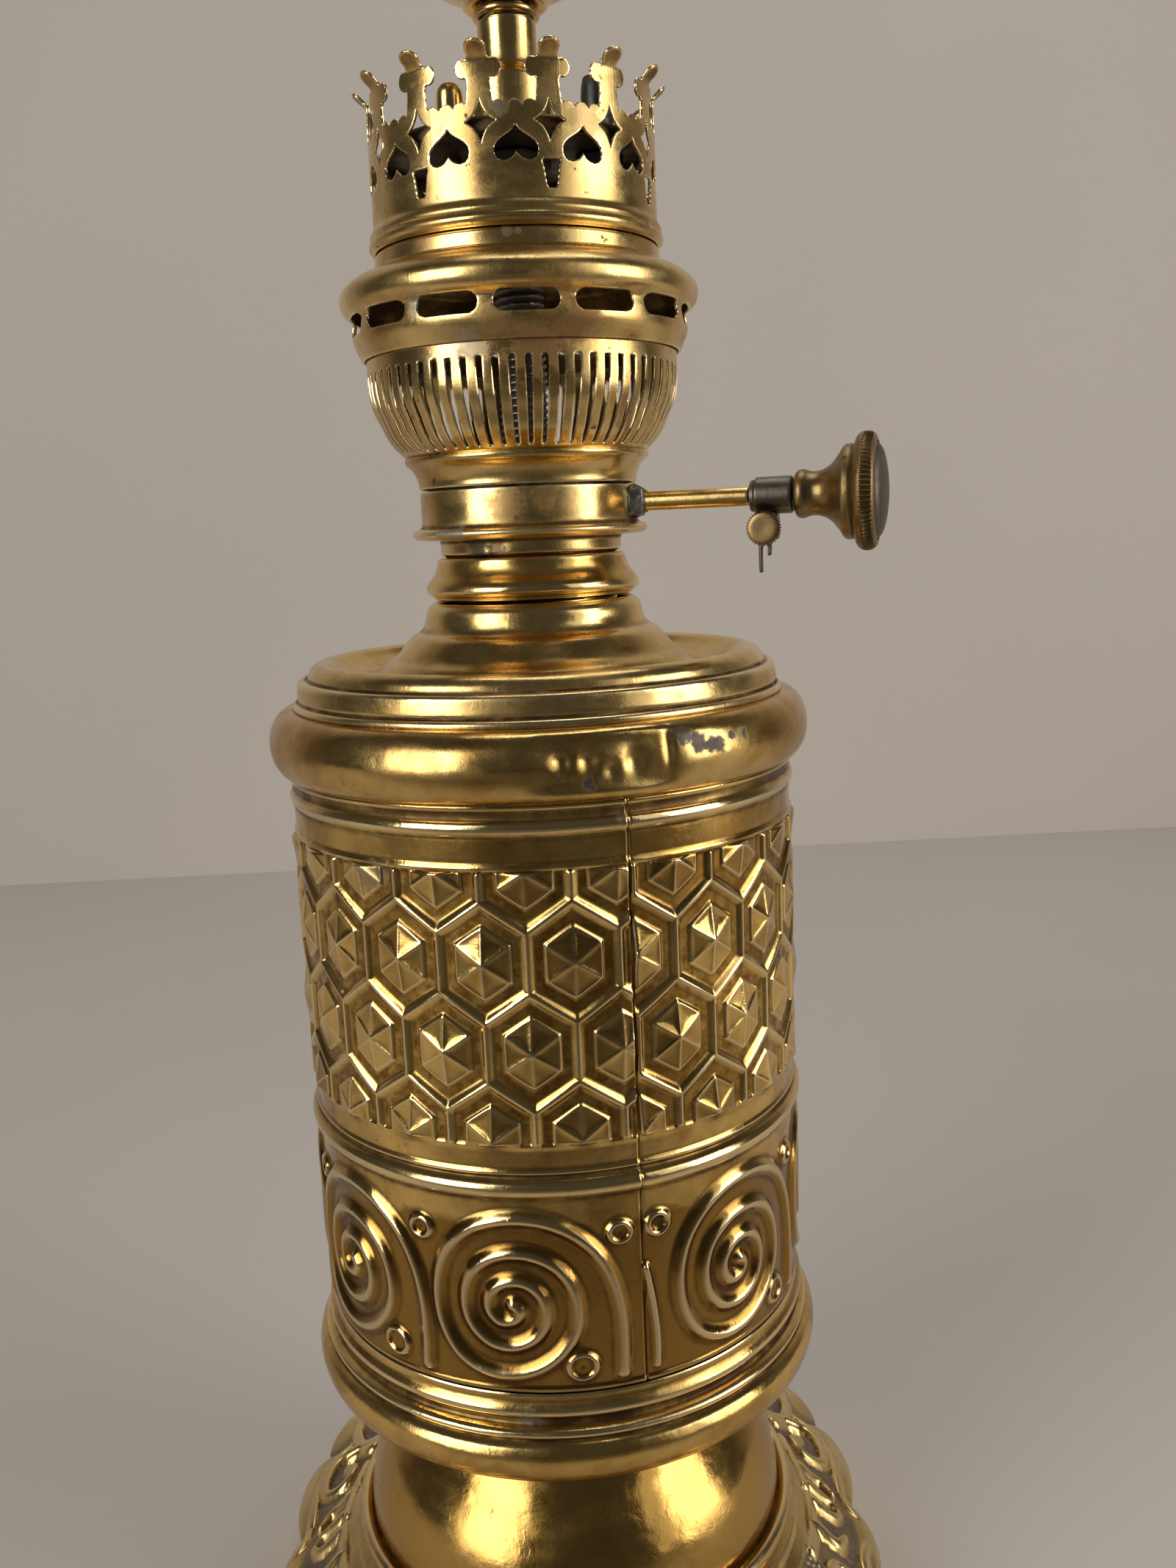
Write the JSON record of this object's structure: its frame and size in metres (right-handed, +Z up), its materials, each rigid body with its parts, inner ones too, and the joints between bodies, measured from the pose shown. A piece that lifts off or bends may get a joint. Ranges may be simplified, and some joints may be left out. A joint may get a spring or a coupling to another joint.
{
  "type": "electrified oil lantern",
  "caption": "Embossed brass table oil lamp with lobed foot, drop-in font, pierced crown burner, wick knob and an electric lamp holder on its axis.",
  "frame": {"origin": "on the ground under the centre of the square foot", "axes": "+Z up along the lamp's axis, -Y towards the front with the body's seam, +X towards the side of the wick knob; the foot's sides run along X and Y"},
  "size_m": [0.147, 0.147, 0.4176],
  "materials": {
    "brass": "polished, warm, with brown tarnish in the grooves",
    "aged_brass": "dull brown patina",
    "cast_brass": "cast relief, worn bright on the high parts",
    "iron": "plain iron hardware",
    "steel": "dark tarnished steel",
    "solder": "grey tinned metal",
    "porcelain": "glazed white porcelain",
    "plastic": "black moulded plastic"
  },
  "bodies": {
    "base": {"foot": "cast_brass", "foot_washer": "iron", "foot_nut": "iron", "tie_rod": "iron", "tie_nut": "iron", "ball_pedestal": "brass", "body_floor": "aged_brass", "base_moulding": "brass", "body_shell": "brass", "shoulder_roll": "brass"},
    "font": {"font_tank": "aged_brass", "font_cover": "brass", "font_collar": "brass"},
    "burner": {"burner_cup": "brass", "air_basket": "brass", "gallery_ring": "brass", "spindle_tube": "brass", "tube_boss": "solder", "clamp_sleeve": "steel", "split_pin": "steel", "threaded_pipe": "steel", "floor_nut_lower": "steel", "floor_nut_upper": "steel", "cover_plate": "aged_brass", "plate_nut": "steel", "stem": "brass", "stem_ring": "brass", "cord_gland": "plastic", "gland_nut": "plastic", "plate_screw": "aged_brass", "holder_cap": "brass", "holder_nut": "steel", "socket_insert": "porcelain", "thread_sleeve": "brass", "centre_contact": "brass", "terminal_screw_left": "steel", "terminal_screw_right": "steel"},
    "crown_body": {"crown": "brass"},
    "wick_raiser": {"wick_spindle": "steel", "wick_wheel": "aged_brass", "knob": "aged_brass", "knob_face": "solder"},
    "clamp": {"clamp_screw": "aged_brass"},
    "holder_top": {"holder_shell": "brass", "rim_insulator": "porcelain"}
  },
  "joints": [
    {"name": "font_lift", "type": "slide", "parent": "base", "child": "font", "axis": [0, 0, 1], "range_m": [0, 0.125]},
    {"name": "burner_turn", "type": "hinge", "parent": "font", "child": "burner", "pos_m": [0, 0, 0.2535], "axis": [0, 0, 1], "range_deg": [0, 720]},
    {"name": "crown_lift", "type": "slide", "parent": "burner", "child": "crown_body", "axis": [0, 0, 1], "range_m": [0, 0.11]},
    {"name": "knob_turn", "type": "hinge", "parent": "burner", "child": "wick_raiser", "pos_m": [0, 0, 0.263], "axis": [0.9455, -0.3256, 0], "continuous": true},
    {"name": "clamp_screw_turn", "type": "hinge", "parent": "burner", "child": "clamp", "pos_m": [0.04723, -0.01626, 0.25665], "axis": [-0.3256, -0.9455, 0], "range_deg": [0, 720]},
    {"name": "holder_shell_turn", "type": "hinge", "parent": "burner", "child": "holder_top", "pos_m": [0, 0, 0.3786], "axis": [0, 0, 1], "range_deg": [0, 720]}
  ]
}
